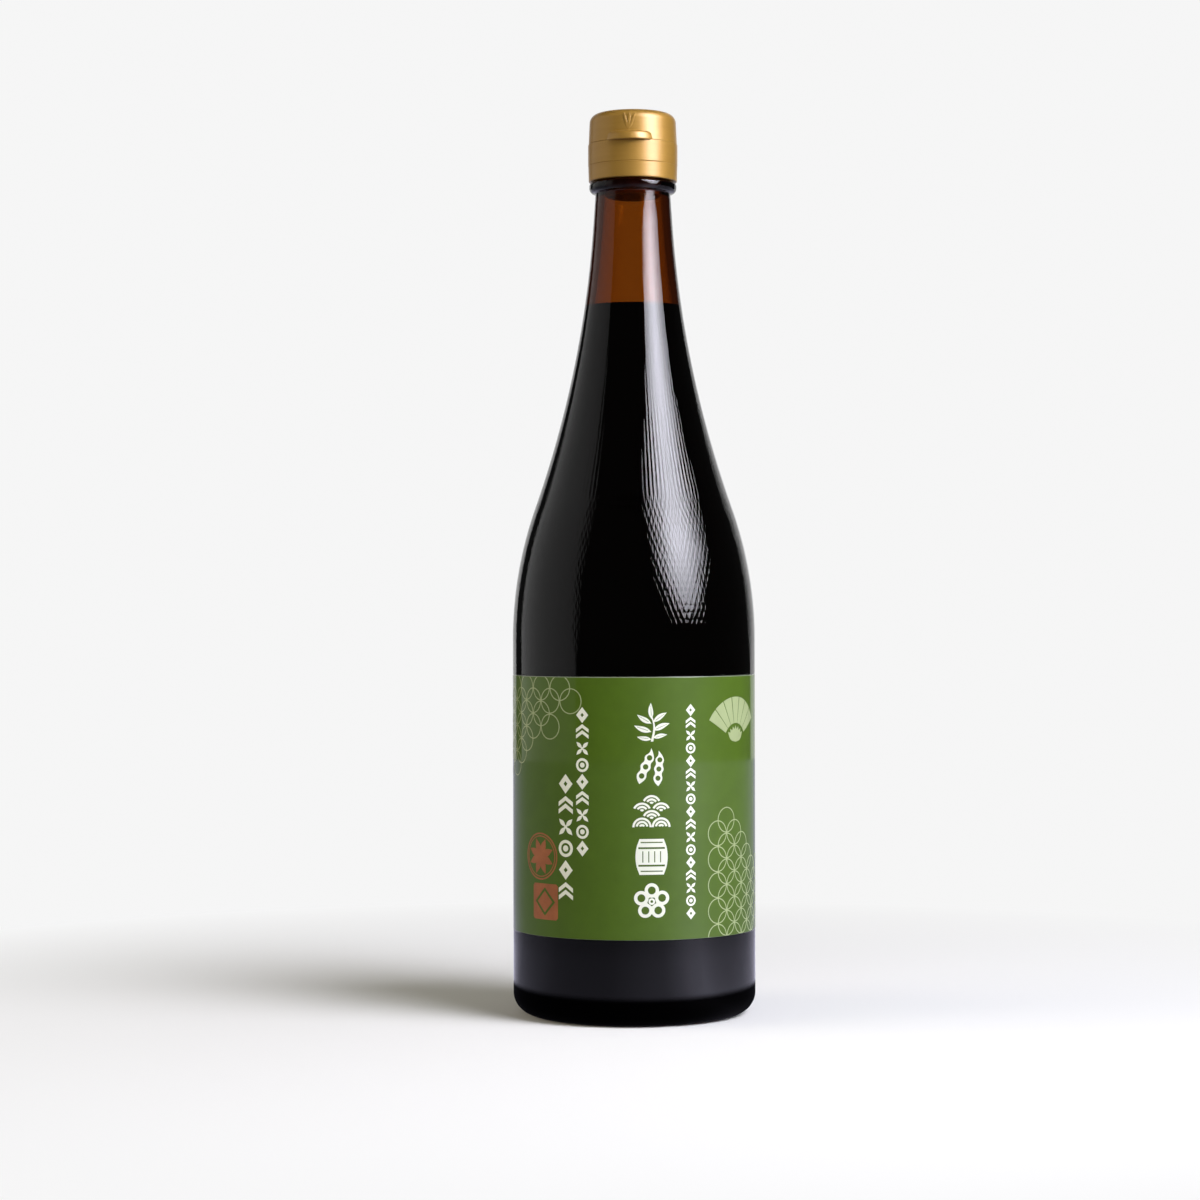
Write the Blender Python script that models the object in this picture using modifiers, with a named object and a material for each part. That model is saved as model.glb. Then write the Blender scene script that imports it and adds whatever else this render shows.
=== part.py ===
"""Soy sauce bottle: amber glass with a long neck, filled, labelled and closed with a gold flip-top cap.

Metres, +Z up. The origin is the middle of the circle that the bottle stands on, and the front of the
label and the cap's thumb tab face -Y. Turned pieces share one axis, the Z axis.
"""
import math

import bpy

# Joint between neighbouring pieces, segments of every turned piece, and of the long curves of its line
GAP = 0.0003
STEPS = 48
SHOULDER_STEPS = 6
NECK_STEPS = 5

# Outer line of the glass, from the foot up
BODY_RADIUS = 0.0395
HEEL_RADIUS = 0.0070
FOOT_WIDTH = 0.0030
PUNT_HEIGHT = 0.0040
BODY_TOP = 0.1217
SHOULDER_RADIUS = 0.1286
FLANK_ANGLE = math.radians(19.18)
FLANK_LENGTH = 0.0027
NECK_CURVE_RADIUS = 0.3495
NECK_ANGLE = math.radians(3.97)
RING_BOTTOM = 0.2674
RING_HEIGHT = 0.0034
RING_DEPTH = 0.0020
LIP_TOP = 0.2810
LIP_ROUNDING = 0.0010

# Inside of the glass
WALL = 0.0030
FLOOR_THICKNESS = 0.0050
FLOOR_CORNER = 0.0060

# Drink
LEVEL = 0.2307

# Paper label, flush in a shallow panel of the glass, open at the back
LABEL_BOTTOM = 0.0278
LABEL_TOP = 0.1104
LABEL_THICKNESS = 0.00025
LABEL_BACK_GAP_STEPS = 2

# Cap: a skirt with an inner plug, and a lid
CAP_RADIUS = 0.0146
SKIRT_BOTTOM = 0.2711
SKIRT_BOTTOM_RADIUS = 0.01442
SKIRT_EDGE = 0.0004
SKIRT_STEP_HEIGHT = 0.2762
SKIRT_STEP_DEPTH = 0.00012
SEAM = 0.2832
SEAM_CHAMFER = 0.00015
PLUG_BOTTOM = 0.2664
PLUG_WALL = 0.0013
LID_TOP = 0.2933
LID_BOTTOM_RADIUS = 0.01442
LID_TOP_RADIUS = 0.0141
LID_ROUNDING = 0.0030

# Thumb tab: part of a flat disc that stands out of the lid's lower edge
TAB_WIDTH = 0.0151
TAB_REACH = 0.0018
TAB_HEIGHT = 0.0029
TAB_BOTTOM = 0.2830
TAB_ROUNDING = 0.0007
TAB_TURN = math.radians(-4.5)

# Strap of the lid's hinge, at the back
HINGE_STEPS = 4
HINGE_THICKNESS = 0.0008
HINGE_BOTTOM = 0.2812
HINGE_TOP = 0.2852
HINGE_EDGE = 0.0002

# Colours and finishes
AMBER_GLASS = ((0.075, 0.028, 0.006, 1.0), 0.05, 0.0)
DARK_SAUCE = ((0.006, 0.002, 0.001, 1.0), 0.1, 0.0)
GREEN_PAPER = ((0.082, 0.165, 0.022, 1.0), 0.45, 0.0)
GOLD_PLASTIC = ((0.46, 0.27, 0.075, 1.0), 0.3, 0.7)


def collection(name):
    """New collection in the scene."""
    made = bpy.data.collections.new(name)
    bpy.context.scene.collection.children.link(made)
    return made


def material(name, look):
    """Principled material from a colour, a roughness and a metallic value."""
    color, roughness, metallic = look
    made = bpy.data.materials.new(name)
    made.use_nodes = True
    shader = made.node_tree.nodes["Principled BSDF"]
    shader.inputs["Base Color"].default_value = color
    shader.inputs["Roughness"].default_value = roughness
    shader.inputs["Metallic"].default_value = metallic
    made.diffuse_color = color
    return made


def arc(middle_r, middle_z, radius_r, radius_z, start, end, count):
    """Points (r, z) along an ellipse, angles in degrees from +r towards +z."""
    points = []
    for i in range(count + 1):
        angle = math.radians(start + (end - start) * i / count)
        points.append((middle_r + radius_r * math.cos(angle), middle_z + radius_z * math.sin(angle)))
    return points


def turned(name, profile, look, target):
    """Solid turned about the Z axis from a profile that runs down its outer side."""
    mesh = bpy.data.meshes.new(name)
    edges = [(i, i + 1) for i in range(len(profile) - 1)]
    mesh.from_pydata([(r, 0.0, z) for r, z in profile], edges, [])
    piece = bpy.data.objects.new(name, mesh)
    target.objects.link(piece)
    screw = piece.modifiers.new("Turn", "SCREW")
    screw.axis = "Z"
    screw.angle = 2.0 * math.pi
    screw.steps = STEPS
    screw.render_steps = STEPS
    screw.use_merge_vertices = True
    screw.merge_threshold = 0.00005
    screw.use_smooth_shade = True
    mesh.materials.append(material(name, look))
    return piece


def curved_plate(name, inner, thickness, bottom, top, first_step, steps, look, target):
    """Plate bent round the Z axis: an upright edge turned part of the way, then given its thickness."""
    mesh = bpy.data.meshes.new(name)
    start = 2.0 * math.pi * first_step / STEPS
    radius = inner + thickness
    ends = [(radius * math.cos(start), radius * math.sin(start), z) for z in (top, bottom)]
    mesh.from_pydata(ends, [(0, 1)], [])
    piece = bpy.data.objects.new(name, mesh)
    target.objects.link(piece)
    screw = piece.modifiers.new("Turn", "SCREW")
    screw.axis = "Z"
    screw.angle = 2.0 * math.pi * steps / STEPS
    screw.steps = steps
    screw.render_steps = steps
    screw.use_merge_vertices = True
    screw.merge_threshold = 0.00005
    screw.use_smooth_shade = True
    wall = piece.modifiers.new("Thickness", "SOLIDIFY")
    wall.thickness = thickness
    wall.offset = -1.0
    mesh.materials.append(material(name, look))
    return piece


def shoulder_line():
    """Outer line (r, z) of the glass from under the neck ring down to the top of the straight body."""
    shoulder = []
    for i in range(SHOULDER_STEPS + 1):
        angle = FLANK_ANGLE * i / SHOULDER_STEPS
        shoulder.append((BODY_RADIUS - SHOULDER_RADIUS * (1.0 - math.cos(angle)),
                         BODY_TOP + SHOULDER_RADIUS * math.sin(angle)))
    r, z = shoulder[-1]
    r -= FLANK_LENGTH * math.sin(FLANK_ANGLE)
    z += FLANK_LENGTH * math.cos(FLANK_ANGLE)
    neck = []
    for i in range(NECK_STEPS + 1):
        angle = FLANK_ANGLE + (NECK_ANGLE - FLANK_ANGLE) * i / NECK_STEPS
        neck.append((r + NECK_CURVE_RADIUS * (math.cos(FLANK_ANGLE) - math.cos(angle)),
                     z + NECK_CURVE_RADIUS * (math.sin(FLANK_ANGLE) - math.sin(angle))))
    r, z = neck[-1]
    top = (r - (RING_BOTTOM - z) * math.tan(NECK_ANGLE), RING_BOTTOM)
    return [top] + neck[::-1] + shoulder[::-1]


def radius_at(line, height):
    """Radius of a line at a height, between its points."""
    for (r_high, z_high), (r_low, z_low) in zip(line, line[1:]):
        if z_low <= height <= z_high:
            return r_low + (r_high - r_low) * (height - z_low) / (z_high - z_low)
    raise ValueError("height outside the line")


def stretch(line, offset, low, high):
    """Part of a line between two heights, moved in by an offset, from the top down."""
    inside = [(r - offset, z) for r, z in line if low < z < high]
    return [(radius_at(line, high) - offset, high)] + inside + [(radius_at(line, low) - offset, low)]


LINE = shoulder_line()
NECK_RADIUS = LINE[0][0]
BORE_RADIUS = NECK_RADIUS - WALL
INNER_RADIUS = BODY_RADIUS - WALL
PANEL_RADIUS = BODY_RADIUS - LABEL_THICKNESS - GAP


def dome(rim_radius, rim_height, rise, steps):
    """Points (r, z) from a rim up to the middle of a round floor that bulges upwards."""
    points = []
    for i in range(1, steps + 1):
        angle = math.pi / 2.0 * i / steps
        points.append((rim_radius * math.cos(angle), rim_height + rise * math.sin(angle)))
    points[-1] = (0.0, rim_height + rise)
    return points


def inner_line(offset, high):
    """Inside of the glass from a height down to the middle of its floor, moved in by an offset."""
    corner = FLOOR_CORNER - offset
    corner_z = FLOOR_THICKNESS + FLOOR_CORNER
    floor_r = INNER_RADIUS - FLOOR_CORNER
    side = stretch(LINE, WALL + offset, BODY_TOP, high)
    bottom = arc(floor_r, corner_z, corner, corner, 0.0, -90.0, 4)
    return side + bottom + dome(floor_r, corner_z - corner, PUNT_HEIGHT, 3)


def make_bottle(target):
    """Hollow glass bottle with a label panel, a heel, a raised punt and a ring under its mouth."""
    ring_z = RING_BOTTOM + RING_HEIGHT / 2.0
    mouth_r = NECK_RADIUS - LIP_ROUNDING
    lip = arc(mouth_r, LIP_TOP - LIP_ROUNDING, LIP_ROUNDING, LIP_ROUNDING, 90.0, 0.0, 2)
    ring = arc(NECK_RADIUS, ring_z, RING_DEPTH, RING_HEIGHT / 2.0, 90.0, -90.0, 5)
    panel_top = LABEL_TOP + GAP
    panel_bottom = LABEL_BOTTOM - GAP
    panel = [(BODY_RADIUS, panel_top + GAP), (PANEL_RADIUS, panel_top),
             (PANEL_RADIUS, panel_bottom), (BODY_RADIUS, panel_bottom - GAP)]
    foot_r = BODY_RADIUS - HEEL_RADIUS
    heel = arc(foot_r, HEEL_RADIUS, HEEL_RADIUS, HEEL_RADIUS, 0.0, -90.0, 5)
    punt_r = foot_r - FOOT_WIDTH
    punt = [(punt_r, 0.0)] + dome(punt_r, 0.0, PUNT_HEIGHT, 3)
    outside = lip + ring + LINE[1:] + panel + heel + punt
    inside = [(BORE_RADIUS, LIP_TOP)] + inner_line(0.0, RING_BOTTOM)
    return turned("glass_bottle", inside[::-1] + outside, AMBER_GLASS, target)


def make_sauce(target):
    """Soy sauce up to its level, a hair inside the glass."""
    return turned("soy_sauce", [(0.0, LEVEL)] + inner_line(GAP, LEVEL), DARK_SAUCE, target)


def make_label(target):
    """Paper wrapped round the body, with a narrow strip of glass left free at the back."""
    first = STEPS // 4 + LABEL_BACK_GAP_STEPS // 2
    return curved_plate("label", PANEL_RADIUS + GAP, LABEL_THICKNESS, LABEL_BOTTOM, LABEL_TOP,
                        first, STEPS - LABEL_BACK_GAP_STEPS, GREEN_PAPER, target)


def make_cap_base(target):
    """Skirt round the mouth, with a deck over the lip and a hollow plug down into the bore."""
    deck = LIP_TOP + GAP
    skirt_inner = NECK_RADIUS + GAP
    plug_outer = BORE_RADIUS - GAP
    plug_inner = plug_outer - PLUG_WALL
    step_r = CAP_RADIUS - SKIRT_STEP_DEPTH
    edge_r = SKIRT_BOTTOM_RADIUS - SKIRT_EDGE
    edge = arc(edge_r, SKIRT_BOTTOM + SKIRT_EDGE, SKIRT_EDGE, SKIRT_EDGE, 0.0, -90.0, 2)
    profile = [(0.0, SEAM), (CAP_RADIUS - SEAM_CHAMFER, SEAM), (CAP_RADIUS, SEAM - SEAM_CHAMFER),
               (CAP_RADIUS, SKIRT_STEP_HEIGHT + SKIRT_STEP_DEPTH), (step_r, SKIRT_STEP_HEIGHT)]
    profile += edge
    profile += [(skirt_inner, SKIRT_BOTTOM), (skirt_inner, deck), (plug_outer, deck),
                (plug_outer, PLUG_BOTTOM), (plug_inner, PLUG_BOTTOM), (plug_inner, deck), (0.0, deck)]
    return turned("cap_base", profile, GOLD_PLASTIC, target)


def make_cap_lid(target, cutters):
    """Lid with a rounded top edge, and the thumb tab on its lower front edge."""
    bottom = SEAM + GAP
    edge = arc(LID_TOP_RADIUS - LID_ROUNDING, LID_TOP - LID_ROUNDING, LID_ROUNDING, LID_ROUNDING, 90.0, 0.0, 5)
    profile = [(0.0, LID_TOP)] + edge
    profile += [(LID_BOTTOM_RADIUS, bottom + SEAM_CHAMFER), (LID_BOTTOM_RADIUS - SEAM_CHAMFER, bottom), (0.0, bottom)]
    lid = turned("cap_lid", profile, GOLD_PLASTIC, target)

    # The tab's disc passes through the ends of its width on the lid's side, and its reach in front
    half = TAB_WIDTH / 2.0
    root = math.sqrt(LID_BOTTOM_RADIUS ** 2 - half ** 2)
    depth = LID_BOTTOM_RADIUS + TAB_REACH - root
    disc_radius = (half ** 2 + depth ** 2) / (2.0 * depth)
    offset = root + depth - disc_radius
    bpy.ops.mesh.primitive_cylinder_add(
        vertices=STEPS, radius=disc_radius, depth=TAB_HEIGHT,
        location=(offset * math.sin(TAB_TURN), -offset * math.cos(TAB_TURN), TAB_BOTTOM + TAB_HEIGHT / 2.0))
    tab = bpy.context.object
    tab.name = "tab_disc"
    rounding = tab.modifiers.new("Rounding", "BEVEL")
    rounding.width = TAB_ROUNDING
    rounding.segments = 2
    rounding.limit_method = "ANGLE"

    # Below the seam, the tab stays clear of the skirt
    clear_height = bottom - TAB_BOTTOM
    bpy.ops.mesh.primitive_cylinder_add(
        vertices=STEPS, radius=CAP_RADIUS + GAP, depth=2.0 * clear_height,
        location=(0.0, 0.0, bottom - clear_height))
    clearance = bpy.context.object
    clearance.name = "skirt_clearance"
    relief = tab.modifiers.new("Clear the skirt", "BOOLEAN")
    relief.operation = "DIFFERENCE"
    relief.object = clearance
    for cutter in (tab, clearance):
        for old in list(cutter.users_collection):
            old.objects.unlink(cutter)
        cutters.objects.link(cutter)
        cutter.hide_render = True
        cutter.display_type = "WIRE"
    join = lid.modifiers.new("Thumb tab", "BOOLEAN")
    join.operation = "UNION"
    join.object = tab
    return lid


def make_cap_hinge(target):
    """Short strap across the seam at the back, which ties the lid to the skirt."""
    first = STEPS // 4 - HINGE_STEPS // 2
    strap = curved_plate("cap_hinge", CAP_RADIUS + GAP, HINGE_THICKNESS, HINGE_BOTTOM, HINGE_TOP,
                         first, HINGE_STEPS, GOLD_PLASTIC, target)
    edge = strap.modifiers.new("Edges", "BEVEL")
    edge.width = HINGE_EDGE
    edge.segments = 1
    edge.limit_method = "ANGLE"
    return strap


for old in list(bpy.data.objects):
    bpy.data.objects.remove(old, do_unlink=True)

bottle = collection("soy_sauce_bottle")
helpers = collection("cutters")
make_bottle(bottle)
make_sauce(bottle)
make_label(bottle)
make_cap_base(bottle)
make_cap_lid(bottle, helpers)
make_cap_hinge(bottle)
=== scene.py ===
"""Soy sauce bottle, finished as photographed: amber glass, dark sauce, a printed paper label and a gold cap.

Metres, +Z up. The origin is the middle of the circle that the bottle stands on, and the front of the
label and the cap's thumb tab face -Y. Each section makes one piece, from the glass up to the cap, and the
last one sets up the studio.
"""
import math

import bmesh
import bpy
from mathutils import Matrix, Vector


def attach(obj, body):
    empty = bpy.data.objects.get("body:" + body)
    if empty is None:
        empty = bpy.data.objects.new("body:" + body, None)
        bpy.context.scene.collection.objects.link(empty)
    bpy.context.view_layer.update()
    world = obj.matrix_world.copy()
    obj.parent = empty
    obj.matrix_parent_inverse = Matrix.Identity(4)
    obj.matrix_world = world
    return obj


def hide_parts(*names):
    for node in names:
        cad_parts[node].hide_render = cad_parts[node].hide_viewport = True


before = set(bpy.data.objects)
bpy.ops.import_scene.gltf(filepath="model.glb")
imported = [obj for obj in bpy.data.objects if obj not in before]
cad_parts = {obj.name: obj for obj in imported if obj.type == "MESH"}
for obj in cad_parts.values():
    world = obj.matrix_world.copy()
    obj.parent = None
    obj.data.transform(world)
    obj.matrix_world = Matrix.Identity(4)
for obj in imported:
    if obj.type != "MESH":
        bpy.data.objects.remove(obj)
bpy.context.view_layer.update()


# Camera: level but for a slight roll, 0.95 m in front of the bottle's axis and 132 mm over its foot, with a
# long lens. The picture is shifted by a few hundredths of its width, so that the bottle stands right of the
# middle.
EYE = (0.0, -0.9503, 0.1323)
LENS = 87.18
SHIFT = (-0.0281, 0.0060)
ROLL = math.radians(0.12)

camera = bpy.data.objects.new("camera", bpy.data.cameras.new("camera"))
camera.location = EYE
camera.rotation_euler = (math.radians(90.0), ROLL, 0.0)
camera.data.lens = LENS
camera.data.shift_x, camera.data.shift_y = SHIFT
camera.data.clip_start = 0.01
bpy.context.scene.collection.objects.link(camera)
bpy.context.scene.camera = camera


# Bottle: blown amber glass about 3 mm thick, with a rounded heel, a raised base, a shallow panel for
# the label and a bead under its mouth. Fine ripples from the mould run up the neck and cross each other
# on the shoulder.
BODY_RADIUS = 0.0395
HEEL_RADIUS = 0.0070
FOOT_WIDTH = 0.0030
PUNT_HEIGHT = 0.0040
BODY_TOP = 0.1217
SHOULDER_RADIUS = 0.1286
FLANK_ANGLE = math.radians(19.18)
FLANK_LENGTH = 0.0027
NECK_CURVE_RADIUS = 0.3495
NECK_ANGLE = math.radians(3.97)
RING_BOTTOM = 0.2674
RING_HEIGHT = 0.0034
RING_DEPTH = 0.0020
RING_FILLET = 0.0004
RING_FACE = 0.0007
RING_ROUNDING = 0.0009
LIP_TOP = 0.2810
LIP_ROUNDING = 0.0010
WALL = 0.0030
FLOOR_THICKNESS = 0.0050
FLOOR_CORNER = 0.0060
PANEL_BOTTOM = 0.0276
PANEL_TOP = 0.1106
PANEL_DEPTH = 0.0001
PANEL_SLOPE = 0.0001
GLASS_STEPS = 192
CREASE = math.radians(35.0)

AMBER_TAKEN = (0.696, 0.462, 0.0, 1.0)
AMBER_DENSITY = 1040.0
RIPPLES = 144.0
RIPPLE_HEIGHT = 0.000038
RIPPLE_FADES = ((0.114, 0.0), (0.124, 1.0), (0.178, 1.0), (0.2, 0.3), (0.222, 0.08))
FADE_START = 0.112
FADE_SPAN = 0.11
RIPPLE_WANDER = 2.4
CROSSING_TOP = 0.1665
CROSSING_TURN = 1400.0
STRONGEST_SIDE = math.radians(40.0)


class Outline:
    """Half outline of a turned piece, drawn from point to point in the XZ plane."""

    def __init__(self, r, z):
        self.shape = bmesh.new()
        self.end = self.shape.verts.new((r, 0.0, z))

    def to(self, r, z):
        """Straight on to a point."""
        self.end = bmesh.ops.extrude_vert_indiv(self.shape, verts=[self.end])["verts"][0]
        self.end.co = (r, 0.0, z)

    def wall(self, r, z):
        """Straight on to a point, with a narrow strip at either end that keeps the wall's shading even."""
        r0, z0 = self.place()
        strip = 0.0001 / math.hypot(r - r0, z - z0)
        for share in (strip, 1.0 - strip, 1.0):
            self.to(r0 + share * (r - r0), z0 + share * (z - z0))

    def about(self, r, z, degrees, steps):
        """Round a centre, from up towards out for positive degrees."""
        made = bmesh.ops.spin(self.shape, geom=[self.end], cent=(r, 0.0, z), axis=(0.0, 1.0, 0.0),
                              angle=math.radians(degrees), steps=steps)
        self.end = made["geom_last"][0]

    def place(self):
        """Radius and height of the outline's end."""
        return self.end.co.x, self.end.co.z

    def turned(self, steps):
        """Closed shape of the outline turned once round the Z axis."""
        whole = self.shape.verts[:] + self.shape.edges[:]
        bmesh.ops.spin(self.shape, geom=whole, cent=(0.0, 0.0, 0.0), axis=(0.0, 0.0, 1.0),
                       angle=2.0 * math.pi, steps=steps, use_merge=True)
        bmesh.ops.remove_doubles(self.shape, verts=self.shape.verts, dist=0.000001)
        bmesh.ops.recalc_face_normals(self.shape, faces=self.shape.faces)
        return self.shape

    def part_turned(self, start, sweep, steps):
        """Closed shape of a closed outline turned part of the way, in degrees from +X towards +Y."""
        bmesh.ops.remove_doubles(self.shape, verts=self.shape.verts, dist=0.000001)
        bmesh.ops.contextual_create(self.shape, geom=self.shape.edges[:])
        bmesh.ops.rotate(self.shape, verts=self.shape.verts, cent=(0.0, 0.0, 0.0),
                         matrix=Matrix.Rotation(math.radians(start), 3, "Z"))
        whole = self.shape.verts[:] + self.shape.edges[:] + self.shape.faces[:]
        bmesh.ops.spin(self.shape, geom=whole, cent=(0.0, 0.0, 0.0), axis=(0.0, 0.0, 1.0),
                       angle=math.radians(sweep), steps=steps)
        bmesh.ops.recalc_face_normals(self.shape, faces=self.shape.faces)
        return self.shape


def draw_flank(outline, inset, top):
    """Body, shoulder and neck of the glass, from the outline's end up to a height."""
    outline.to(BODY_RADIUS - inset, BODY_TOP)
    outline.about(BODY_RADIUS - SHOULDER_RADIUS - inset, BODY_TOP, -math.degrees(FLANK_ANGLE), 28)
    r, z = outline.place()
    r -= FLANK_LENGTH * math.sin(FLANK_ANGLE)
    z += FLANK_LENGTH * math.cos(FLANK_ANGLE)
    outline.to(r, z)
    highest = math.asin(max(math.sin(NECK_ANGLE), math.sin(FLANK_ANGLE) - (top - z) / NECK_CURVE_RADIUS))
    outline.about(r + NECK_CURVE_RADIUS * math.cos(FLANK_ANGLE), z + NECK_CURVE_RADIUS * math.sin(FLANK_ANGLE),
                  math.degrees(FLANK_ANGLE - highest), 36)
    r, z = outline.place()
    if top - z > 0.00001:
        outline.to(r - (top - z) * math.tan(NECK_ANGLE), top)


def dome(outline, rim, height, rise):
    """Raised round floor, from the middle out to its rim."""
    radius = (rim ** 2 + rise ** 2) / (2.0 * rise)
    outline.about(0.0, height + rise - radius, math.degrees(math.asin(rim / radius)), 12)


def make_piece(name, shape, finishes, node=None):
    """Object of a finished shape, smooth up to the crease angle, that rides on the bottle."""
    mesh = bpy.data.meshes.new(name)
    shape.to_mesh(mesh)
    shape.free()
    for finish in finishes:
        mesh.materials.append(finish)
    mesh.shade_smooth()
    mesh.set_sharp_from_angle(angle=CREASE)
    piece = bpy.data.objects.new(name, mesh)
    bpy.context.scene.collection.objects.link(piece)
    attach(piece, "root")
    if node:
        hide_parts(node)


def new_finish(name, color, roughness, **values):
    """Material with its Principled shader's plain values set by name."""
    finish = bpy.data.materials.new(name)
    finish.use_nodes = True
    shader = finish.node_tree.nodes["Principled BSDF"]
    shader.inputs["Base Color"].default_value = (*color, 1.0)
    shader.inputs["Roughness"].default_value = roughness
    for socket, value in values.items():
        shader.inputs[socket.replace("_", " ")].default_value = value
    return finish, shader


def add(tree, kind, *plugs, **settings):
    """Node with its first sockets filled in order, each from a value or another node's socket."""
    made = tree.nodes.new(kind)
    for name, value in settings.items():
        setattr(made, name, value)
    for socket, plug in zip(made.inputs, plugs):
        if isinstance(plug, bpy.types.NodeSocket):
            tree.links.new(plug, socket)
        elif plug is not None:
            socket.default_value = plug
    return made


def calc(tree, operation, *plugs):
    """Result of a Math node."""
    return add(tree, "ShaderNodeMath", *plugs, operation=operation).outputs[0]


def bumped(tree, shader, height, distance):
    """Height plugged into the shader's normal, 1 standing for a distance in metres."""
    bump = add(tree, "ShaderNodeBump")
    bump.inputs["Strength"].default_value = 1.0
    bump.inputs["Distance"].default_value = distance
    tree.links.new(height, bump.inputs["Height"])
    tree.links.new(bump.outputs["Normal"], shader.inputs["Normal"])


def noise(tree, place, scale, detail=2.0, roughness=0.5):
    """Grey noise at a scale per metre, round one half."""
    made = add(tree, "ShaderNodeTexNoise")
    tree.links.new(place, made.inputs["Vector"])
    made.inputs["Scale"].default_value = scale
    made.inputs["Detail"].default_value = detail
    made.inputs["Roughness"].default_value = roughness
    return made.outputs[0]


def angle_and_height(tree, place):
    """Angle round the bottle from its front, in radians towards the right, and height."""
    x, y, z = add(tree, "ShaderNodeSeparateXYZ", place).outputs
    return calc(tree, "ARCTAN2", x, calc(tree, "MULTIPLY", y, -1.0)), z


def ramp(tree, plug, stops):
    """Value read off a row of (position, value) stops."""
    made = add(tree, "ShaderNodeValToRGB", plug)
    elements = made.color_ramp.elements
    while len(elements) < len(stops):
        elements.new(0.5)
    for element, (position, value) in zip(elements, stops):
        element.position = position
        element.color = (value, value, value, 1.0)
    return made.outputs[0]


ring_z = RING_BOTTOM + RING_HEIGHT / 2.0
bulge = RING_HEIGHT / 2.0
foot = BODY_RADIUS - HEEL_RADIUS
punt = foot - FOOT_WIDTH
floor_r = BODY_RADIUS - WALL - FLOOR_CORNER

outside = Outline(0.0, PUNT_HEIGHT)
dome(outside, punt, 0.0, PUNT_HEIGHT)
outside.to(foot, 0.0)
outside.about(foot, HEEL_RADIUS, -90.0, 20)
outside.to(BODY_RADIUS, PANEL_BOTTOM - PANEL_SLOPE)
outside.to(BODY_RADIUS - PANEL_DEPTH, PANEL_BOTTOM)
outside.to(BODY_RADIUS - PANEL_DEPTH, PANEL_TOP)
outside.to(BODY_RADIUS, PANEL_TOP + PANEL_SLOPE)
draw_flank(outside, 0.0, RING_BOTTOM - RING_FILLET)
neck_r = outside.place()[0]
# Bead: a fillet off the neck, a round belly, a short upright face and a round top
outside.about(neck_r + RING_FILLET, RING_BOTTOM - RING_FILLET, 70.0, 5)
bead_r = neck_r + RING_DEPTH - bulge
outside.to(bead_r + 0.0003, RING_BOTTOM + 0.00002)
outside.about(bead_r, ring_z, -75.0, 12)
outside.to(bead_r + bulge, ring_z + RING_FACE)
outside.about(bead_r + bulge - RING_ROUNDING, ring_z + RING_FACE, -85.0, 12)
outside.to(neck_r + 0.0002, RING_BOTTOM + RING_HEIGHT + 0.0001)
outside.to(neck_r, RING_BOTTOM + RING_HEIGHT + 0.0003)
# Mouth
outside.to(neck_r, LIP_TOP - LIP_ROUNDING)
outside.about(neck_r - LIP_ROUNDING, LIP_TOP - LIP_ROUNDING, -90.0, 8)
outside.to(neck_r - WALL, LIP_TOP)

inside = Outline(0.0, FLOOR_THICKNESS + PUNT_HEIGHT)
dome(inside, floor_r, FLOOR_THICKNESS, PUNT_HEIGHT)
inside.about(floor_r, FLOOR_THICKNESS + FLOOR_CORNER, -90.0, 12)
draw_flank(inside, WALL, RING_BOTTOM)
inside.to(neck_r - WALL, LIP_TOP)

amber, shader = new_finish("amber glass", (1.0, 1.0, 1.0), 0.0, IOR=1.52, Transmission_Weight=1.0)
tree = amber.node_tree
body = add(tree, "ShaderNodeVolumeAbsorption", AMBER_TAKEN, AMBER_DENSITY)
tree.links.new(body.outputs[0], tree.nodes["Material Output"].inputs["Volume"])
place = add(tree, "ShaderNodeTexCoord").outputs["Object"]
around, z = angle_and_height(tree, place)
turn = calc(tree, "MULTIPLY", around, RIPPLES)
turn = calc(tree, "MULTIPLY_ADD", noise(tree, place, 45.0), RIPPLE_WANDER, turn)
below = calc(tree, "SMOOTH_MAX", calc(tree, "SUBTRACT", CROSSING_TOP, z), 0.0, 0.006)
lean = calc(tree, "MULTIPLY", below, CROSSING_TURN)
crests = []
for phase in (calc(tree, "ADD", turn, lean), calc(tree, "SUBTRACT", turn, lean)):
    crests.append(calc(tree, "MULTIPLY_ADD", calc(tree, "SINE", phase), 0.5, 0.5))
uneven = calc(tree, "ADD", noise(tree, place, 70.0), 0.5)
fading = ramp(tree, calc(tree, "MULTIPLY_ADD", z, 1.0 / FADE_SPAN, -FADE_START / FADE_SPAN),
              [((height - FADE_START) / FADE_SPAN, share) for height, share in RIPPLE_FADES])
toward = calc(tree, "COSINE", calc(tree, "SUBTRACT", around, STRONGEST_SIDE))
strong = calc(tree, "POWER", calc(tree, "MULTIPLY_ADD", toward, 0.5, 0.5), 2.0)
fading = calc(tree, "MULTIPLY", fading, calc(tree, "ADD", strong, 0.1))
ripples = calc(tree, "MULTIPLY", calc(tree, "MULTIPLY", calc(tree, "MAXIMUM", *crests), uneven), fading)
bumped(tree, shader, ripples, RIPPLE_HEIGHT)

shell = outside.turned(GLASS_STEPS)
lining = inside.turned(GLASS_STEPS)
hollow = bpy.data.meshes.new("hollow")
lining.to_mesh(hollow)
lining.free()
shell.from_mesh(hollow)
bpy.data.meshes.remove(hollow)
bmesh.ops.remove_doubles(shell, verts=shell.verts, dist=0.000001)
bmesh.ops.recalc_face_normals(shell, faces=shell.faces)
make_piece("bottle_glass", shell, [amber], "glass_bottle")


# Soy sauce: a dark liquid that fills the bottle up to the neck and creeps up the glass a little at its
# edge. It reaches a tenth of a millimetre into the wall, so that it wets the glass.
LEVEL = 0.2301
REACH = 0.0001
MENISCUS = 0.0005


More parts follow.
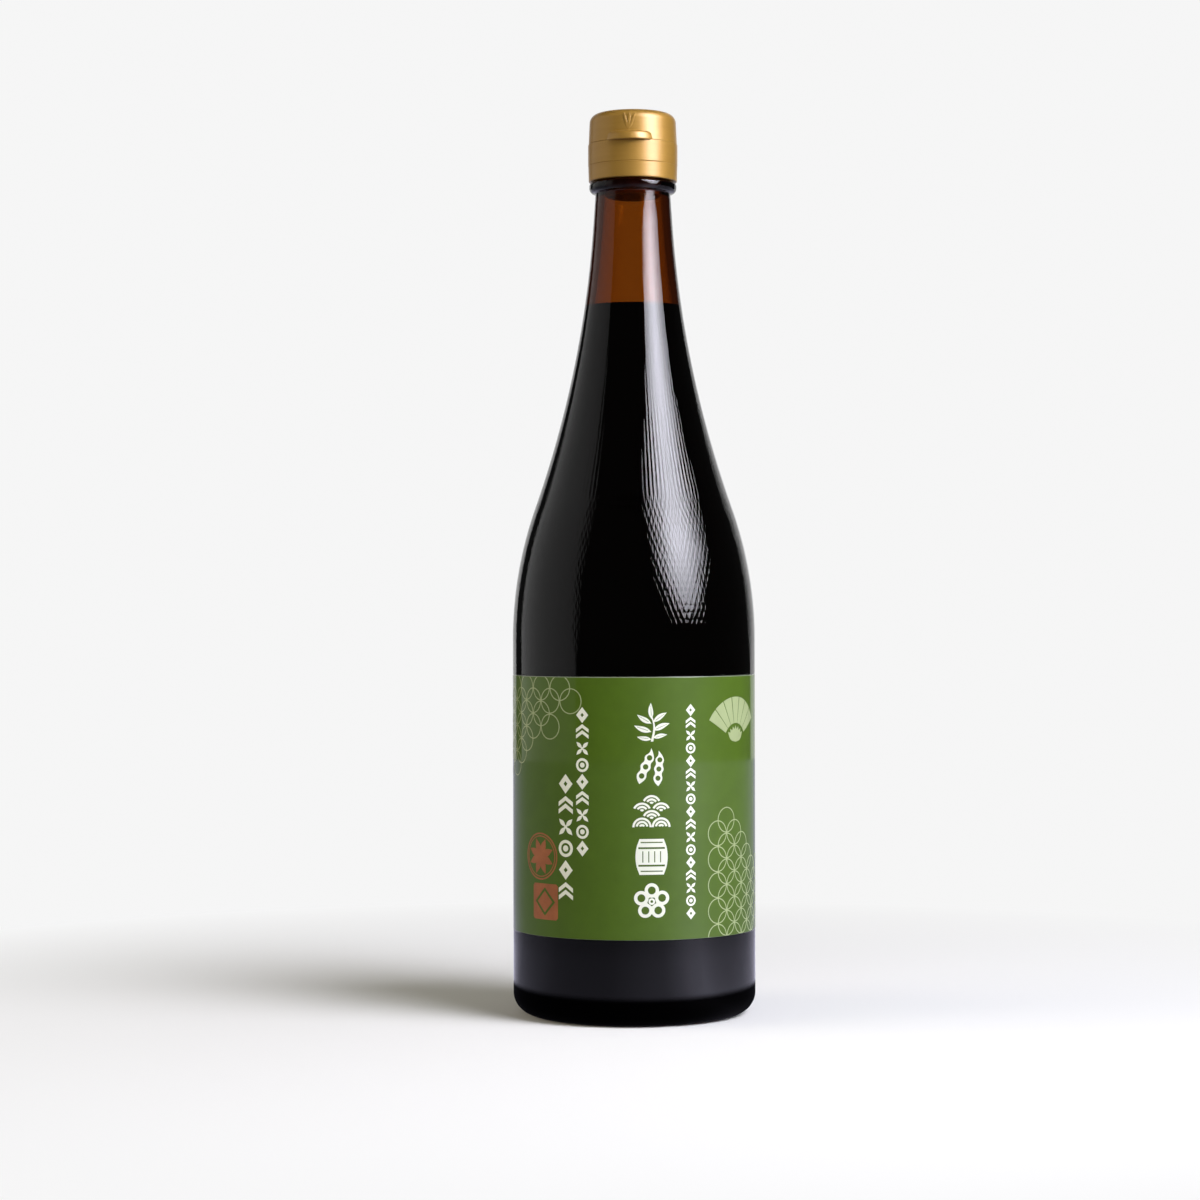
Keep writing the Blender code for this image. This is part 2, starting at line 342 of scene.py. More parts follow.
def two_tones(tree, plug, first, last, stops=(0.0, 1.0)):
    """Colour between two tones, read off a value."""
    blend = add(tree, "ShaderNodeValToRGB", plug)
    for element, stop, tone in zip(blend.color_ramp.elements, stops, (first, last)):
        element.position = stop
        element.color = (*tone, 1.0)
    return blend.outputs[0]


drink = Outline(0.0, FLOOR_THICKNESS + PUNT_HEIGHT - REACH)
dome(drink, floor_r, FLOOR_THICKNESS - REACH, PUNT_HEIGHT)
drink.about(floor_r, FLOOR_THICKNESS + FLOOR_CORNER, -90.0, 12)
draw_flank(drink, WALL - REACH, LEVEL + MENISCUS)
rim_r = drink.place()[0] - REACH - 0.00002
drink.to(rim_r, LEVEL + MENISCUS)
drink.about(rim_r - MENISCUS, LEVEL + MENISCUS, 90.0, 8)
drink.to(0.0, LEVEL)

dark, shader = new_finish("soy sauce", (0.0005, 0.0005, 0.0006), 0.08, IOR=1.12)
tree = dark.node_tree
place = add(tree, "ShaderNodeTexCoord").outputs["Object"]
cloud = two_tones(tree, noise(tree, place, 120.0), (0.0002, 0.0003, 0.0004), (0.0008, 0.0007, 0.0008))
tree.links.new(cloud, shader.inputs["Base Color"])
make_piece("sauce_fill", drink.turned(GLASS_STEPS), [dark], "soy_sauce")


# Label: coated paper printed green all over but for its cut edges, glued round the body in one piece.
# Its ends leave a strip of glass free at the back.
LABEL_BOTTOM = 0.0278
LABEL_TOP = 0.1104
LABEL_START = 97.5
LABEL_SWEEP = 345.0
LABEL_FACE = 0.03952
PAPER = 0.00015
CUT_EDGE = 0.0002

sheet = Outline(LABEL_FACE - PAPER, LABEL_BOTTOM)
sheet.to(LABEL_FACE - 0.00003, LABEL_BOTTOM)
sheet.to(LABEL_FACE, LABEL_BOTTOM + 0.00006)
sheet.wall(LABEL_FACE, LABEL_TOP - CUT_EDGE)
sheet.to(LABEL_FACE - 0.00005, LABEL_TOP)
sheet.to(LABEL_FACE - PAPER, LABEL_TOP)
sheet.to(LABEL_FACE - PAPER, LABEL_BOTTOM)
paper_shape = sheet.part_turned(LABEL_START, LABEL_SWEEP, 184)
for face in paper_shape.faces:
    printed = all(Vector(corner.co.xy).length > LABEL_FACE - 0.000001 for corner in face.verts)
    face.material_index = 0 if printed else 1

# Tooth of the paper, which the ink follows: fine fibres and a slow mottle
tooth = bpy.data.node_groups.new("paper tooth", "ShaderNodeTree")
for name, kind, role in (("Color", "NodeSocketColor", "INPUT"), ("Mottle", "NodeSocketFloat", "INPUT"),
                         ("Color", "NodeSocketColor", "OUTPUT"), ("Height", "NodeSocketFloat", "OUTPUT"),
                         ("Roughness", "NodeSocketFloat", "OUTPUT")):
    tooth.interface.new_socket(name, in_out=role, socket_type=kind)
given = tooth.nodes.new("NodeGroupInput")
result = tooth.nodes.new("NodeGroupOutput")
place = add(tooth, "ShaderNodeTexCoord").outputs["Object"]
fibres = noise(tooth, place, 2600.0, 3.0, 0.6)
mottle = noise(tooth, place, 160.0, 3.0, 0.6)
shade = calc(tooth, "MULTIPLY_ADD", calc(tooth, "SUBTRACT", mottle, 0.5), given.outputs["Mottle"], 1.0)
scaled = add(tooth, "ShaderNodeVectorMath", given.outputs["Color"], operation="SCALE")
tooth.links.new(shade, scaled.inputs["Scale"])
tooth.links.new(scaled.outputs[0], result.inputs["Color"])
tooth.links.new(fibres, result.inputs["Height"])
tooth.links.new(calc(tooth, "MULTIPLY_ADD", fibres, 0.14, 0.48), result.inputs["Roughness"])


def paper_finish(name, color, mottle):
    """Paper or ink on it, in one colour, with the paper's tooth."""
    finish, shader = new_finish(name, color, 0.5, Specular_IOR_Level=0.3, Coat_Weight=0.9, Coat_Roughness=0.03,
                                Coat_IOR=1.5)
    tree = finish.node_tree
    effect = tree.nodes.new("ShaderNodeGroup")
    effect.node_tree = tooth
    effect.inputs["Color"].default_value = (*color, 1.0)
    effect.inputs["Mottle"].default_value = mottle
    tree.links.new(effect.outputs["Color"], shader.inputs["Base Color"])
    tree.links.new(effect.outputs["Roughness"], shader.inputs["Roughness"])
    bumped(tree, shader, effect.outputs["Height"], 0.000004)
    return finish


green_ink = paper_finish("green ink", (0.068, 0.13, 0.004), 0.25)
bare_paper = paper_finish("bare paper", (0.24, 0.28, 0.2), 0.1)
make_piece("label_paper", paper_shape, [green_ink, bare_paper], "label")


# Print on the label: raised ink in white, pale green and red, each colour one piece. Every shape is
# drawn flat, in millimetres right of the label's middle and up from its lower edge, and wrapped round.
INK = 0.00003
STRIP = 1.5
TITLE_PLACES = ((5.5, 68.2), (5.5, 54.2), (5.5, 40.2), (5.5, 26.2), (5.5, 12.2))
TITLE_SIZE = 11.7
RIGHT_COLUMN = (18.5, 72.1, 8.1, 17, 3.9)
LEFT_COLUMN = (-16.8, 70.6, 28.6, 9, 5.0)
MIDDLE_COLUMN = (-22.9, 48.8, 14.8, 6, 6.2)
ROUND_SEAL = (-33.7, 25.4)
SQUARE_SEAL = (-31.7, 11.1)
SQUARE_SEAL_SIZE = 11.4
FAN = (38.0, 61.5)
FAN_RADIUS = 14.4
FAN_BLADES = 7
FAN_PITCH = 17.3
CIRCLE_FIELDS = ((-58.0, 79.0, (5, 5, 4, 4, 3, 2, 2)), (29.0, 0.0, (7, 6, 6, 5, 4, 4, 3, 2, 2, 1)))
CIRCLE_RADIUS = 4.1
CIRCLE_LINE = 0.32


def add_outlines(art, outlines, x, y, size=1.0, turn=0.0):
    """Flat shape between closed outlines, each of (x, y, corner) points, drawn at a place."""
    curve = bpy.data.curves.new("motif", "CURVE")
    curve.dimensions = "2D"
    curve.fill_mode = "BOTH"
    curve.resolution_u = 6
    for points in outlines:
        line = curve.splines.new("BEZIER")
        line.bezier_points.add(len(points) - 1)
        line.use_cyclic_u = True
        for knot, (px, py, corner) in zip(line.bezier_points, points):
            knot.co = (px, py, 0.0)
            knot.handle_left_type = knot.handle_right_type = "VECTOR" if corner else "AUTO"
    holder = bpy.data.objects.new("motif", curve)
    flat = bpy.data.meshes.new_from_object(holder)
    flat.transform(Matrix.Translation((x, y, 0.0)) @ Matrix.Rotation(math.radians(turn), 4, "Z")
                   @ Matrix.Scale(size, 4))
    art.from_mesh(flat)
    bpy.data.objects.remove(holder)
    bpy.data.curves.remove(curve)
    bpy.data.meshes.remove(flat)


def add_disc(art, x, y, radius):
    """Flat dot."""
    bmesh.ops.create_circle(art, cap_ends=True, segments=24, radius=radius,
                            matrix=Matrix.Translation((x, y, 0.0)))


def add_band(art, x, y, radius, width, start=0.0, sweep=360.0, steps=32):
    """Flat ring or part of one, in degrees from the right anticlockwise."""
    a = math.radians(start)
    ends = [art.verts.new((x + r * math.cos(a), y + r * math.sin(a), 0.0)) for r in (radius - width, radius)]
    rim = art.edges.new(ends)
    bmesh.ops.spin(art, geom=ends + [rim], cent=(x, y, 0.0), axis=(0.0, 0.0, 1.0), angle=math.radians(sweep),
                   steps=steps, use_merge=sweep >= 360.0)


def add_bar(art, x, y, width, height, turn=0.0):
    """Flat bar, turned about its middle."""
    bmesh.ops.create_grid(art, x_segments=1, y_segments=1, size=0.5,
                          matrix=Matrix.Translation((x, y, 0.0)) @ Matrix.Rotation(math.radians(turn), 4, "Z")
                          @ Matrix.Diagonal((width, height, 1.0, 1.0)))


def wrap(art, name, finish):
    """Artwork trimmed to the label, cut into upright strips, bent round it and given the ink's thickness."""
    low, high = 0.15, (LABEL_TOP - LABEL_BOTTOM - CUT_EDGE) * 1000.0 - 0.1
    for level, side in ((low, -1.0), (high, 1.0)):
        whole = art.verts[:] + art.edges[:] + art.faces[:]
        bmesh.ops.bisect_plane(art, geom=whole, dist=0.0001, plane_co=(0.0, level, 0.0),
                               plane_no=(0.0, side, 0.0), clear_outer=True)
    strips = int(math.radians(LABEL_SWEEP / 2.0) * LABEL_FACE * 1000.0 / STRIP)
    for i in range(-strips, strips + 1):
        whole = art.verts[:] + art.edges[:] + art.faces[:]
        bmesh.ops.bisect_plane(art, geom=whole, dist=0.0001, plane_co=(STRIP * i, 0.0, 0.0),
                               plane_no=(1.0, 0.0, 0.0))
    bmesh.ops.remove_doubles(art, verts=art.verts, dist=0.001)
    bmesh.ops.recalc_face_normals(art, faces=art.faces)
    raised = bmesh.ops.extrude_face_region(art, geom=art.faces[:])
    tops = [item for item in raised["geom"] if isinstance(item, bmesh.types.BMVert)]
    for corner in art.verts:
        corner.co.z = LABEL_FACE - INK
    for corner in tops:
        corner.co.z = LABEL_FACE + INK
    for corner in art.verts:
        angle = corner.co.x / 1000.0 / LABEL_FACE
        height = LABEL_BOTTOM + corner.co.y / 1000.0
        corner.co = (corner.co.z * math.sin(angle), -corner.co.z * math.cos(angle), height)
    bmesh.ops.recalc_face_normals(art, faces=art.faces)
    make_piece(name, art, [finish])


LEAF = [[(0.0, 0.0, True), (0.3, 0.15, False), (0.62, 0.16, False), (1.0, 0.0, True), (0.62, -0.1, False),
         (0.3, -0.12, False)],
        [(0.2, 0.012, True), (0.84, 0.022, True), (0.84, 0.004, True), (0.2, -0.012, True)]]
SLIM_LEAF = [[(0.0, 0.0, True), (0.5, 0.2, False), (1.0, 0.0, True), (0.5, -0.2, False)]]
STEM = [[(-0.02, -0.5, True), (0.05, -0.1, False), (-0.015, 0.2, True), (0.015, 0.2, True), (0.1, -0.1, False),
         (0.05, -0.5, True)]]
LOZENGE = [[(0.0, 0.5, True), (0.42, 0.0, True), (0.0, -0.5, True), (-0.42, 0.0, True)],
           [(0.0, 0.14, True), (0.12, 0.0, True), (0.0, -0.14, True), (-0.12, 0.0, True)]]
CHEVRON = [[(-0.46, -0.06, True), (0.0, 0.26, True), (0.46, -0.06, True), (0.46, -0.3, True), (0.0, 0.02, True),
            (-0.46, -0.3, True)]]
BEANS = (-0.27, 0.0, 0.27)
POD = [[(-0.5, -0.03, True), (-0.4, 0.08, False), (-0.27, 0.135, False), (-0.135, 0.1, False),
        (0.0, 0.145, False), (0.135, 0.1, False), (0.27, 0.13, False), (0.4, 0.06, False), (0.53, 0.06, True),
        (0.4, -0.06, False), (0.27, -0.125, False), (0.135, -0.1, False), (0.0, -0.14, False),
        (-0.135, -0.1, False), (-0.27, -0.13, False), (-0.4, -0.09, False)]]
POD += [[(x + 0.075, 0.0, False), (x, 0.075, False), (x - 0.075, 0.0, False), (x, -0.075, False)] for x in BEANS]
KEG = [[(-0.33, 0.48, True), (-0.42, 0.2, False), (-0.42, -0.2, False), (-0.33, -0.48, True), (0.33, -0.48, True),
        (0.42, -0.2, False), (0.42, 0.2, False), (0.33, 0.48, True)]]
for low, high, half in ((0.21, 0.26, 0.36), (-0.26, -0.21, 0.36), (0.37, 0.4, 0.3), (-0.4, -0.37, 0.3)):
    KEG.append([(-half, high, True), (-half, low, True), (half, low, True), (half, high, True)])
for x in (-0.24, -0.08, 0.08, 0.24):
    KEG.append([(x - 0.014, 0.15, True), (x - 0.014, -0.15, True), (x + 0.014, -0.15, True), (x + 0.014, 0.15, True)])


def add_waves(art, x, y, size):
    """Four scale-shaped waves, each of three arcs, piled up."""
    for row, middles in enumerate(((-0.26, 0.26), (0.0,), (-0.26, 0.26), (0.0,))):
        for middle in middles:
            for share, start in ((1.0, 0.0), (0.66, 8.0), (0.33, 20.0)):
                start += 0.0 if row == 0 else 26.0
                add_band(art, x + middle * size, y + (0.2 * row - 0.4) * size, 0.26 * share * size, 0.058 * size,
                         start, 180.0 - 2.0 * start, 18)


def add_blossom(art, x, y, size):
    """Five open petals round a ring, with a stamen between each two."""
    for i in range(5):
        a = math.radians(90.0 + 72.0 * i)
        add_band(art, x + 0.28 * size * math.cos(a), y + 0.28 * size * math.sin(a), 0.185 * size, 0.085 * size,
                 steps=24)
        a += math.radians(36.0)
        add_bar(art, x + 0.19 * size * math.cos(a), y + 0.19 * size * math.sin(a), 0.15 * size, 0.035 * size,
                math.degrees(a))
    add_band(art, x, y, 0.085 * size, 0.05 * size, steps=20)


white = bmesh.new()
x, y = TITLE_PLACES[0]
add_outlines(white, STEM, x, y, TITLE_SIZE)
add_outlines(white, LEAF, x, y + 0.1 * TITLE_SIZE, 0.44 * TITLE_SIZE, 92.0)
for low, length, lean in ((0.02, 0.46, 34.0), (-0.2, 0.5, 22.0), (-0.4, 0.4, 12.0)):
    add_outlines(white, LEAF, x + 0.04 * TITLE_SIZE, y + low * TITLE_SIZE, length * TITLE_SIZE, lean)
    add_outlines(white, LEAF, x, y + (low - 0.04) * TITLE_SIZE, length * TITLE_SIZE, 182.0 - lean)
x, y = TITLE_PLACES[1]
add_outlines(white, POD, x - 0.16 * TITLE_SIZE, y + 0.02 * TITLE_SIZE, 0.98 * TITLE_SIZE, 66.0)
add_outlines(white, POD, x + 0.2 * TITLE_SIZE, y - 0.04 * TITLE_SIZE, 0.92 * TITLE_SIZE, 84.0)
add_waves(white, *TITLE_PLACES[2], TITLE_SIZE)
add_outlines(white, KEG, *TITLE_PLACES[3], TITLE_SIZE)
add_blossom(white, *TITLE_PLACES[4], 1.06 * TITLE_SIZE)

for x, top, bottom, count, size in (RIGHT_COLUMN, LEFT_COLUMN, MIDDLE_COLUMN):
    for i in range(count):
        y = top + (bottom - top) * i / (count - 1)
        if i % 4 == 0:
            add_outlines(white, LOZENGE, x, y, size)
        elif i % 4 == 1:
            add_outlines(white, CHEVRON, x, y + 0.23 * size, 0.95 * size)
            add_outlines(white, CHEVRON, x, y - 0.15 * size, 0.95 * size)
        elif i % 4 == 2:
            for quarter in range(4):
                add_outlines(white, SLIM_LEAF, x, y, 0.58 * size, 45.0 + 90.0 * quarter)
            add_disc(white, x, y, 0.09 * size)
        else:
            add_band(white, x, y, 0.44 * size, 0.16 * size, steps=20)
            add_disc(white, x, y, 0.16 * size)

pale = bmesh.new()
for i in range(FAN_BLADES):
    add_band(pale, *FAN, FAN_RADIUS, 8.4, 30.0 + FAN_PITCH * i, 16.0, 8)
    add_outlines(pale, SLIM_LEAF, *FAN, 5.2, 38.0 + FAN_PITCH * i)
for x0, y0, counts in CIRCLE_FIELDS:
    up = -1.0 if y0 > 40.0 else 1.0
    for row, count in enumerate(counts):
        for i in range(count):
            x = x0 + CIRCLE_RADIUS * (2 * i + row % 2)
            y = y0 + up * CIRCLE_RADIUS * row
            add_band(pale, x, y, CIRCLE_RADIUS, CIRCLE_LINE)

red = bmesh.new()
add_band(red, *ROUND_SEAL, 7.5, 0.5, steps=48)
add_band(red, *ROUND_SEAL, 6.6, 0.35, steps=48)
for i in range(8):
    add_outlines(red, SLIM_LEAF, *ROUND_SEAL, 6.0, 22.5 + 45.0 * i)
SEAL = [[(-0.5, -0.44, True), (-0.44, -0.5, True), (0.44, -0.5, True), (0.5, -0.44, True), (0.5, 0.44, True),
         (0.44, 0.5, True), (-0.44, 0.5, True), (-0.5, 0.44, True)],
        [(0.0, 0.4, True), (0.4, 0.0, True), (0.0, -0.4, True), (-0.4, 0.0, True)],
        [(0.0, 0.3, True), (0.3, 0.0, True), (0.0, -0.3, True), (-0.3, 0.0, True)]]
add_outlines(red, SEAL, *SQUARE_SEAL, SQUARE_SEAL_SIZE)

wrap(white, "white_print", paper_finish("white ink", (0.9, 0.92, 0.78), 0.08))
wrap(pale, "pale_print", paper_finish("pale green ink", (0.38, 0.45, 0.22), 0.15))
wrap(red, "red_seals", paper_finish("red ink", (0.36, 0.12, 0.04), 0.8))


# Skirt of the cap: gold moulded plastic with a pearly sheen, pushed over the mouth. It has a line low
# down where it may be torn off, and a rolled lower edge.
GAP = 0.0003
CAP_RADIUS = 0.0146
SKIRT_BOTTOM = 0.2711
SKIRT_BOTTOM_RADIUS = 0.01442
SKIRT_EDGE = 0.0004
TEAR_LINE = 0.2762
STEP_DEPTH = 0.00006
GROOVE_DEPTH = 0.00008
SEAM = 0.2832
SEAM_CHAMFER = 0.0001
CAP_STEPS = 144

gold, shader = new_finish("gold plastic", (0.41, 0.22, 0.035), 0.45, Metallic=0.5, Coat_Weight=0.95,
                          Coat_Roughness=0.3, Coat_IOR=1.6, Specular_Tint=(0.6, 0.4, 0.25, 1.0))
tree = gold.node_tree
place = add(tree, "ShaderNodeTexCoord").outputs["Object"]
flakes = noise(tree, place, 9000.0, 2.0, 0.6)
flow = noise(tree, add(tree, "ShaderNodeMapping", place, None, None, (60.0, 60.0, 900.0)).outputs[0], 1.0)
pearl = calc(tree, "MULTIPLY_ADD", flow, 0.35, calc(tree, "MULTIPLY", flakes, 0.65))
tone = two_tones(tree, pearl, (0.38, 0.203, 0.028), (0.455, 0.26, 0.048), (0.3, 0.7))
tree.links.new(tone, shader.inputs["Base Color"])
tree.links.new(calc(tree, "MULTIPLY_ADD", flakes, 0.16, 0.42), shader.inputs["Roughness"])
bumped(tree, shader, flakes, 0.0000012)

deck = LIP_TOP + GAP
step_r = CAP_RADIUS - STEP_DEPTH
skirt = Outline(0.0, SEAM)
skirt.to(CAP_RADIUS - SEAM_CHAMFER, SEAM)
skirt.about(CAP_RADIUS - SEAM_CHAMFER, SEAM - SEAM_CHAMFER, 90.0, 4)
skirt.wall(CAP_RADIUS, TEAR_LINE + 0.00022)
skirt.to(CAP_RADIUS - GROOVE_DEPTH - STEP_DEPTH, TEAR_LINE)
skirt.to(step_r, TEAR_LINE - 0.00012)
skirt.wall(SKIRT_BOTTOM_RADIUS, SKIRT_BOTTOM + SKIRT_EDGE)
skirt.about(SKIRT_BOTTOM_RADIUS - SKIRT_EDGE, SKIRT_BOTTOM + SKIRT_EDGE, 90.0, 6)
skirt.to(neck_r + GAP, SKIRT_BOTTOM)
skirt.to(neck_r + GAP, deck)
skirt.to(0.0, deck)
make_piece("cap_skirt", skirt.turned(CAP_STEPS), [gold], "cap_base")


# Plug of the cap: a short tube of natural plastic that seals the mouth and shows through the neck.
PLUG_BOTTOM = 0.2664
PLUG_WALL = 0.0013
PLUG_ROUNDING = 0.0004

plug_r = neck_r - WALL - 0.00005
tube = Outline(plug_r - PLUG_WALL, deck)
tube.to(plug_r, deck)
tube.to(plug_r, PLUG_BOTTOM + PLUG_ROUNDING)
tube.about(plug_r - PLUG_ROUNDING, PLUG_BOTTOM + PLUG_ROUNDING, 90.0, 6)
tube.to(plug_r - PLUG_WALL + PLUG_ROUNDING, PLUG_BOTTOM)
tube.about(plug_r - PLUG_WALL + PLUG_ROUNDING, PLUG_BOTTOM + PLUG_ROUNDING, 90.0, 6)
tube.to(plug_r - PLUG_WALL, deck)
natural, shader = new_finish("stained plastic", (0.6, 0.48, 0.36), 0.4)
tree = natural.node_tree
place = add(tree, "ShaderNodeTexCoord").outputs["Object"]
stain = two_tones(tree, noise(tree, place, 400.0, 3.0), (0.45, 0.34, 0.24), (0.75, 0.64, 0.5))
tree.links.new(stain, shader.inputs["Base Color"])
bumped(tree, shader, noise(tree, place, 1500.0), 0.00001)
make_piece("cap_plug", tube.turned(CAP_STEPS), [natural], "cap_base")


# Lid of the cap: the same gold plastic, with a rounded top edge, a thumb tab in front and three low
# ribs that fan out above it.
LID_TOP = 0.2933
LID_BOTTOM_RADIUS = 0.01442
LID_TOP_RADIUS = 0.0141
LID_ROUNDING = 0.0030
LID_GAP = 0.0001
TAB_WIDTH = 0.0151
TAB_REACH = 0.0021
TAB_HEIGHT = 0.0029
TAB_BOTTOM = 0.2830
TAB_ROUNDING = 0.0005
TAB_TOP_ROUNDING = 0.0009
TAB_SLANT = 0.0005
TAB_TURN = math.radians(-4.5)
RIB_LENGTH = 0.0066
RIB_WIDTH = 0.0010
RIB_DEPTH = 0.00011
RIB_HEIGHT = 0.2885
RIB_LEANS = (-14.0, 4.0, 22.0)

bottom = SEAM + LID_GAP
crown = Outline(0.0, LID_TOP)
crown.to(LID_TOP_RADIUS - LID_ROUNDING, LID_TOP)
crown.about(LID_TOP_RADIUS - LID_ROUNDING, LID_TOP - LID_ROUNDING, 90.0, 14)
crown.wall(LID_BOTTOM_RADIUS, bottom + SEAM_CHAMFER)
crown.about(LID_BOTTOM_RADIUS - SEAM_CHAMFER, bottom + SEAM_CHAMFER, 90.0, 4)
crown.to(0.0, bottom)
lid = crown.turned(CAP_STEPS)

half = TAB_WIDTH / 2.0
root = math.sqrt(LID_BOTTOM_RADIUS ** 2 - half ** 2)
depth = LID_BOTTOM_RADIUS + TAB_REACH - root
disc_radius = (half ** 2 + depth ** 2) / (2.0 * depth)
offset = root + depth - disc_radius
tab = bmesh.new()
bmesh.ops.create_cone(tab, cap_ends=True, segments=120, radius1=disc_radius, radius2=disc_radius - TAB_SLANT,
                      depth=TAB_HEIGHT,
                      matrix=Matrix.Translation((offset * math.sin(TAB_TURN), -offset * math.cos(TAB_TURN),
                                                 TAB_BOTTOM + TAB_HEIGHT / 2.0)))
for height, rounding in ((TAB_BOTTOM + TAB_HEIGHT, TAB_TOP_ROUNDING), (TAB_BOTTOM, TAB_ROUNDING)):
    rim = [edge for edge in tab.edges if all(abs(end.co.z - height) < 0.00001 for end in edge.verts)]
    bmesh.ops.bevel(tab, geom=rim, offset=rounding, offset_type="OFFSET", affect="EDGES", segments=6,
                    profile=0.5, material=-1)
for lean in RIB_LEANS:
    tilt = math.radians(lean)
    about = TAB_TURN + math.radians(-1.5 + lean * 0.19)
    r = LID_TOP_RADIUS + 0.0001
    bmesh.ops.create_uvsphere(
        tab, u_segments=20, v_segments=12, radius=0.5,
        matrix=Matrix.Translation((r * math.sin(about), -r * math.cos(about), RIB_HEIGHT))
        @ Matrix.Rotation(about, 4, "Z") @ Matrix.Rotation(tilt, 4, "Y")
        @ Matrix.Diagonal((RIB_WIDTH, 2.0 * RIB_DEPTH, RIB_LENGTH, 1.0)))
part = bpy.data.meshes.new("tab")
tab.to_mesh(part)
tab.free()
lid.from_mesh(part)
bpy.data.meshes.remove(part)
make_piece("lid_with_tab", lid, [gold], "cap_lid")


# Hinge strap: the same moulding, a short band across the seam at the back that ties lid and skirt.
HINGE_SWEEP = 30.0
HINGE_THICKNESS = 0.0008
HINGE_BOTTOM = 0.2812
HINGE_TOP = 0.2852

strap_r = CAP_RADIUS + GAP
strap = Outline(strap_r, HINGE_BOTTOM)
strap.to(strap_r + HINGE_THICKNESS - 0.0002, HINGE_BOTTOM)
strap.about(strap_r + HINGE_THICKNESS - 0.0002, HINGE_BOTTOM + 0.0002, -90.0, 4)
strap.to(strap_r + HINGE_THICKNESS, SEAM - 0.0001)
strap.to(strap_r + HINGE_THICKNESS - 0.00035, SEAM + 0.00015)
strap.to(strap_r + HINGE_THICKNESS, SEAM + 0.0004)
strap.to(strap_r + HINGE_THICKNESS, HINGE_TOP - 0.0002)
strap.about(strap_r + HINGE_THICKNESS - 0.0002, HINGE_TOP - 0.0002, -90.0, 4)
strap.to(strap_r, HINGE_TOP)
strap.to(strap_r, HINGE_BOTTOM)
make_piece("hinge_strap", strap.part_turned(90.0 - HINGE_SWEEP / 2.0, HINGE_SWEEP, 16), [gold], "cap_hinge")


# Studio: a pale floor that fades into a pale background, an eight-sided softbox high on the right and a
# weak reflector on the left. The glass, label and cap mirror a dim panel on the left and a white wall behind.
PALE = 0.92
DARK = 0.02
# Painted shade: the share of the world's light left for rays that were mirrored at least once.
MIRRORED_SHADE = 0.4
FILL = 0.18
SOFTBOX_PLACE = (53.0, 33.3)
SOFTBOX_DISTANCE = 1.2
SOFTBOX_SIZE = (0.515, 0.625)
SOFTBOX_POWER = 16.5
SOFTBOX_FALL = ((0.0, 1.0), (0.25, 0.91), (0.45, 0.69), (0.68, 0.48), (0.88, 0.36), (1.0, 0.3))
SOFTBOX_TINT = (0.96, 0.96, 1.07, 1.0)
SOFTBOX_MIDDLE = (-0.06, -0.08)
WALL_RADIUS = 1.6
WALL_HEIGHT = 1.5
WALL_BANDS = ((-180, 0.65), (-150.5, 0.65), (-149.5, 0.02), (-133.5, 0.02), (-132.5, 0.56), (-112, 0.44),
              (-94, 0.38), (-80, 0.36), (-68, 0.32), (-56.5, 0.27), (-55.5, 0.02), (144.5, 0.02), (146, 0.65),
              (180, 0.65))
# For the rays that the bottle mirrors, the floor glows with painted light: brighter by azimuth on the softbox's side,
# with a painted shadow close round the foot, fading outwards, in a bluish tint.
FLOOR_LIGHT_ROUND = ((-180, 0.9), (-121, 0.3), (-102, 0.29), (-85, 0.27), (-71, 0.215), (-45, 0.185), (-20, 0.19),
               (0, 0.285), (12, 0.35), (24, 0.41), (36, 0.665), (48, 1.05), (60, 1.19), (74, 0.81), (88, 0.6),
               (105, 0.49), (126, 0.46), (158, 0.72), (180, 0.9))
FLOOR_MOST = 1.2
FLOOR_SHADOW_AND_FADE = ((0.088, 0.03), (0.1, 1.0), (0.19, 0.9), (0.25, 0.72), (0.4, 0.55))
FLOOR_TINT = (1.08, 1.06, 1.34, 1.0)
BOUNCE_PLACE = (-82.0, 12.0)
BOUNCE_POWER = 13.0
BOUNCE_TINT = (1.0, 0.9, 0.72)
AIM = Vector((0.0, 0.0, 0.15))

bpy.context.scene.view_settings.view_transform = "Standard"


def direction(azimuth, elevation):
    """Unit vector, azimuth in degrees from the camera's side towards its right."""
    a, e = math.radians(azimuth), math.radians(elevation)
    return Vector((math.sin(a) * math.cos(e), -math.cos(a) * math.cos(e), math.sin(e)))


def stage_piece(name, shape, finish):
    """Object of the studio, mirrored in the bottle."""
    mesh = bpy.data.meshes.new(name)
    shape.to_mesh(mesh)
    shape.free()
    mesh.materials.append(finish)
    made = bpy.data.objects.new(name, mesh)
    bpy.context.scene.collection.objects.link(made)
    return made


def glow(name):
    """Material with only an emission shader, and that shader."""
    finish = bpy.data.materials.new(name)
    finish.use_nodes = True
    tree = finish.node_tree
    tree.nodes.remove(tree.nodes["Principled BSDF"])
    light = tree.nodes.new("ShaderNodeEmission")
    tree.links.new(light.outputs[0], tree.nodes["Material Output"].inputs["Surface"])
    return finish, light


def round_ramp(tree, place, stops, most=1.0):
    """Value read off stops of azimuth in degrees and value, as a share of the most."""
    around = calc(tree, "MULTIPLY_ADD", angle_and_height(tree, place)[0], 0.5 / math.pi, 0.5)
    return ramp(tree, around, [((azimuth + 180.0) / 360.0, value / most) for azimuth, value in stops])


